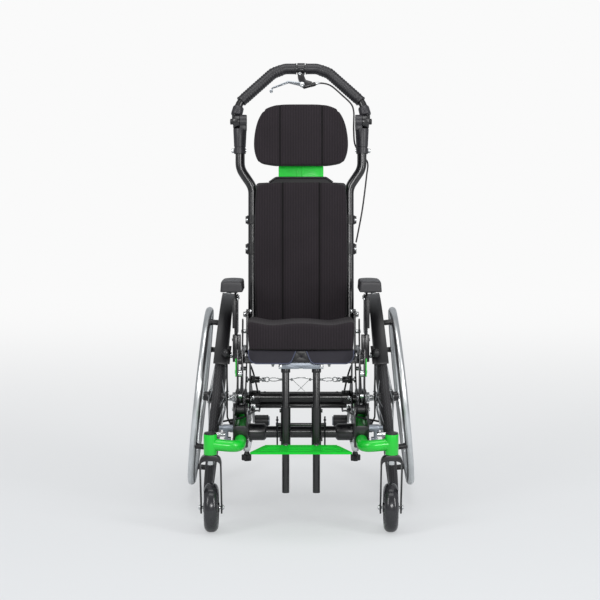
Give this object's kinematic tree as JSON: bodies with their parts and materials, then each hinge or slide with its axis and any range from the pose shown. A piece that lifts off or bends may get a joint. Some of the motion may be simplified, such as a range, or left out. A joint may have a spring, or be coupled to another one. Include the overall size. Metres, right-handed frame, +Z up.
{
  "type": "pediatric tilt wheelchair",
  "caption": "Pediatric wheelchair with rocker tilt frame, cambered rear wheels, folding push bar, headrest, armrests and height-adjustable flip-up footplate.",
  "frame": {"origin": "on the floor under the middle of the chair's bounding box", "axes": "-Y is forward, +X is the user's left, +Z is up"},
  "size_m": [0.6236, 0.7652, 1.1889],
  "materials": {
    "green_powder_coat": "gloss powder coat",
    "black_powder_coat": "satin powder coat",
    "moulded_plastic": "fine moulded texture",
    "tyre_rubber": "matte rubber",
    "grip_rubber": "matte rubber",
    "cable_sheath": "smooth sheath",
    "upholstery": "ribbed knitted spacer fabric",
    "zinc_plate": "bright zinc plate",
    "silver_anodised": "satin anodised"
  },
  "bodies": {
    "base": {"base_frame_left": "green_powder_coat", "base_frame_right": "green_powder_coat", "lower_crossbar": "black_powder_coat", "camber_tube": "black_powder_coat", "cradle_left": "black_powder_coat", "cradle_right": "black_powder_coat", "fender_left": "moulded_plastic", "fender_right": "moulded_plastic", "brake_cable_left": "cable_sheath", "brake_cable_right": "cable_sheath"},
    "wheel_left": {"rear_tyre_left": "tyre_rubber", "rear_wheel_left": "black_powder_coat", "handrim_left": "silver_anodised"},
    "axle_button_left": {"axle_button_left": "zinc_plate"},
    "caster_fork_left": {"caster_fork_left": "black_powder_coat"},
    "caster_wheel_left": {"caster_wheel_left": "tyre_rubber"},
    "tilt_roller_left": {"tilt_roller_left": "moulded_plastic"},
    "tilt_lock_left": {"tilt_lock_left": "zinc_plate"},
    "wheel_lock_left": {"wheel_lock_left": "zinc_plate"},
    "foot_pedal_left": {"foot_pedal_left": "grip_rubber"},
    "clamp_knob_left": {"clamp_knob_left": "moulded_plastic"},
    "arm_left": {"arm_post_left": "black_powder_coat", "arm_pad_left": "moulded_plastic"},
    "knuckle_button_left": {"knuckle_button_left": "moulded_plastic"},
    "wheel_right": {"rear_tyre_right": "tyre_rubber", "rear_wheel_right": "black_powder_coat", "handrim_right": "silver_anodised"},
    "axle_button_right": {"axle_button_right": "zinc_plate"},
    "caster_fork_right": {"caster_fork_right": "black_powder_coat"},
    "caster_wheel_right": {"caster_wheel_right": "tyre_rubber"},
    "tilt_roller_right": {"tilt_roller_right": "moulded_plastic"},
    "tilt_lock_right": {"tilt_lock_right": "zinc_plate"},
    "wheel_lock_right": {"wheel_lock_right": "zinc_plate"},
    "foot_pedal_right": {"foot_pedal_right": "grip_rubber"},
    "clamp_knob_right": {"clamp_knob_right": "moulded_plastic"},
    "arm_right": {"arm_post_right": "black_powder_coat", "arm_pad_right": "moulded_plastic"},
    "knuckle_button_right": {"knuckle_button_right": "moulded_plastic"},
    "seat": {"rocker_left": "green_powder_coat", "rocker_right": "green_powder_coat", "seat_pan": "black_powder_coat", "seat_base": "upholstery", "seat_cushion": "upholstery", "footrest_hanger": "black_powder_coat"},
    "footplate_carrier": {"footplate_carrier": "black_powder_coat"},
    "footplate": {"footplate": "green_powder_coat"},
    "back": {"back_frame": "black_powder_coat", "back_shell": "moulded_plastic", "back_cushion": "upholstery", "headrest_mount": "green_powder_coat", "tilt_cable_lower": "cable_sheath", "knuckle_left": "moulded_plastic", "knuckle_right": "moulded_plastic"},
    "headrest_stem": {"headrest_stem": "zinc_plate"},
    "headrest_pad": {"headrest_pad": "upholstery"},
    "push_bar": {"push_bar": "black_powder_coat", "tilt_cable_upper": "cable_sheath", "grip_left": "grip_rubber", "grip_right": "grip_rubber"},
    "tilt_lever": {"tilt_lever": "silver_anodised"}
  },
  "joints": [
    {"name": "wheel_left_spin", "type": "hinge", "parent": "base", "child": "wheel_left", "pos_m": [0.229, 0.1076, 0.27356], "axis": [0.9945, 0, 0.1045], "continuous": true},
    {"name": "axle_button_left_press", "type": "slide", "parent": "base", "child": "axle_button_left", "axis": [-0.9945, 0, -0.1045], "range_m": [0, 0.004], "stiffness_N_per_m": 400},
    {"name": "caster_left_swivel", "type": "hinge", "parent": "base", "child": "caster_fork_left", "pos_m": [0.2315, -0.3324, 0], "axis": [0, 0, 1], "continuous": true},
    {"name": "caster_left_spin", "type": "hinge", "parent": "caster_fork_left", "child": "caster_wheel_left", "pos_m": [0.2315, -0.2924, 0.0635], "axis": [1, 0, 0], "continuous": true},
    {"name": "tilt_roller_left_spin", "type": "hinge", "parent": "base", "child": "tilt_roller_left", "pos_m": [0.157, -0.22803, 0.3085], "axis": [1, 0, 0], "continuous": true},
    {"name": "tilt_lock_left_pull", "type": "slide", "parent": "base", "child": "tilt_lock_left", "axis": [-1, 0, 0], "range_m": [0, 0.0036]},
    {"name": "wheel_lock_left_swing", "type": "hinge", "parent": "base", "child": "wheel_lock_left", "pos_m": [0.19, -0.1874, 0.25], "axis": [1, 0, 0], "range_deg": [0, 14.5]},
    {"name": "foot_pedal_left_press", "type": "hinge", "parent": "base", "child": "foot_pedal_left", "pos_m": [0.133, 0.1296, 0.235], "axis": [-1, 0, 0], "range_deg": [0, 25]},
    {"name": "clamp_knob_left_turn", "type": "hinge", "parent": "base", "child": "clamp_knob_left", "pos_m": [0.144, -0.1224, 0.1937], "axis": [0, 0, 1], "range_deg": [-180, 180]},
    {"name": "arm_left_height", "type": "slide", "parent": "seat", "child": "arm_left", "axis": [0, 0.0872, 0.9962], "range_m": [0, 0.05]},
    {"name": "knuckle_button_left_press", "type": "slide", "parent": "push_bar", "child": "knuckle_button_left", "axis": [-1, 0, 0], "range_m": [0, 0.004], "stiffness_N_per_m": 400},
    {"name": "wheel_right_spin", "type": "hinge", "parent": "base", "child": "wheel_right", "pos_m": [-0.229, 0.1076, 0.27356], "axis": [0.9945, 0, -0.1045], "continuous": true},
    {"name": "axle_button_right_press", "type": "slide", "parent": "base", "child": "axle_button_right", "axis": [0.9945, 0, -0.1045], "range_m": [0, 0.004], "stiffness_N_per_m": 400},
    {"name": "caster_right_swivel", "type": "hinge", "parent": "base", "child": "caster_fork_right", "pos_m": [-0.2315, -0.3324, 0], "axis": [0, 0, 1], "continuous": true},
    {"name": "caster_right_spin", "type": "hinge", "parent": "caster_fork_right", "child": "caster_wheel_right", "pos_m": [-0.2315, -0.2924, 0.0635], "axis": [1, 0, 0], "continuous": true},
    {"name": "tilt_roller_right_spin", "type": "hinge", "parent": "base", "child": "tilt_roller_right", "pos_m": [-0.157, -0.22803, 0.3085], "axis": [1, 0, 0], "continuous": true},
    {"name": "tilt_lock_right_pull", "type": "slide", "parent": "base", "child": "tilt_lock_right", "axis": [1, 0, 0], "range_m": [0, 0.0036]},
    {"name": "wheel_lock_right_swing", "type": "hinge", "parent": "base", "child": "wheel_lock_right", "pos_m": [-0.19, -0.1874, 0.25], "axis": [1, 0, 0], "range_deg": [0, 14.5]},
    {"name": "foot_pedal_right_press", "type": "hinge", "parent": "base", "child": "foot_pedal_right", "pos_m": [-0.133, 0.1296, 0.235], "axis": [-1, 0, 0], "range_deg": [0, 25]},
    {"name": "clamp_knob_right_turn", "type": "hinge", "parent": "base", "child": "clamp_knob_right", "pos_m": [-0.144, -0.1224, 0.1937], "axis": [0, 0, 1], "range_deg": [-180, 180]},
    {"name": "arm_right_height", "type": "slide", "parent": "seat", "child": "arm_right", "axis": [0, 0.0872, 0.9962], "range_m": [0, 0.05]},
    {"name": "knuckle_button_right_press", "type": "slide", "parent": "push_bar", "child": "knuckle_button_right", "axis": [1, 0, 0], "range_m": [0, 0.004], "stiffness_N_per_m": 400},
    {"name": "seat_tilt", "type": "hinge", "parent": "base", "child": "seat", "pos_m": [0, -0.0624, 0.62], "axis": [-1, 0, 0], "range_deg": [-5, 35]},
    {"name": "footplate_height", "type": "slide", "parent": "seat", "child": "footplate_carrier", "axis": [0, 0.0872, 0.9962], "range_m": [-0.09, 0.055]},
    {"name": "footplate_flip", "type": "hinge", "parent": "footplate_carrier", "child": "footplate", "pos_m": [0, -0.24296, 0.21419], "axis": [-1, 0, 0], "range_deg": [0, 90]},
    {"name": "back_recline", "type": "hinge", "parent": "seat", "child": "back", "pos_m": [0, 0.05384, 0.51447], "axis": [-1, 0, 0], "range_deg": [-4, 25]},
    {"name": "headrest_height", "type": "slide", "parent": "back", "child": "headrest_stem", "axis": [0, 0.1736, 0.9848], "range_m": [-0.015, 0.05]},
    {"name": "headrest_tilt", "type": "hinge", "parent": "headrest_stem", "child": "headrest_pad", "pos_m": [0, 0.13053, 0.99546], "axis": [-1, 0, 0], "range_deg": [-3, 20]},
    {"name": "push_bar_angle", "type": "hinge", "parent": "back", "child": "push_bar", "pos_m": [0, 0.1451, 1.03198], "axis": [-1, 0, 0], "range_deg": [-15, 75]},
    {"name": "tilt_lever_squeeze", "type": "hinge", "parent": "push_bar", "child": "tilt_lever", "pos_m": [0.003, 0.18947, 1.12715], "axis": [0, 0.9063, -0.4226], "range_deg": [0, 16], "stiffness_Nm_per_rad": 0.5, "springref_deg": -2.86}
  ],
  "couplings": [
    {"joint": "tilt_roller_left_spin", "follows": "seat_tilt", "ratio": 27.2},
    {"joint": "wheel_lock_left_swing", "follows": "foot_pedal_left_press", "ratio": 0.58},
    {"joint": "tilt_lock_left_pull", "follows": "tilt_lever_squeeze", "m_per_rad": 0.0125},
    {"joint": "tilt_roller_right_spin", "follows": "seat_tilt", "ratio": 27.2},
    {"joint": "wheel_lock_right_swing", "follows": "foot_pedal_right_press", "ratio": 0.58},
    {"joint": "tilt_lock_right_pull", "follows": "tilt_lever_squeeze", "m_per_rad": 0.0125}
  ]
}
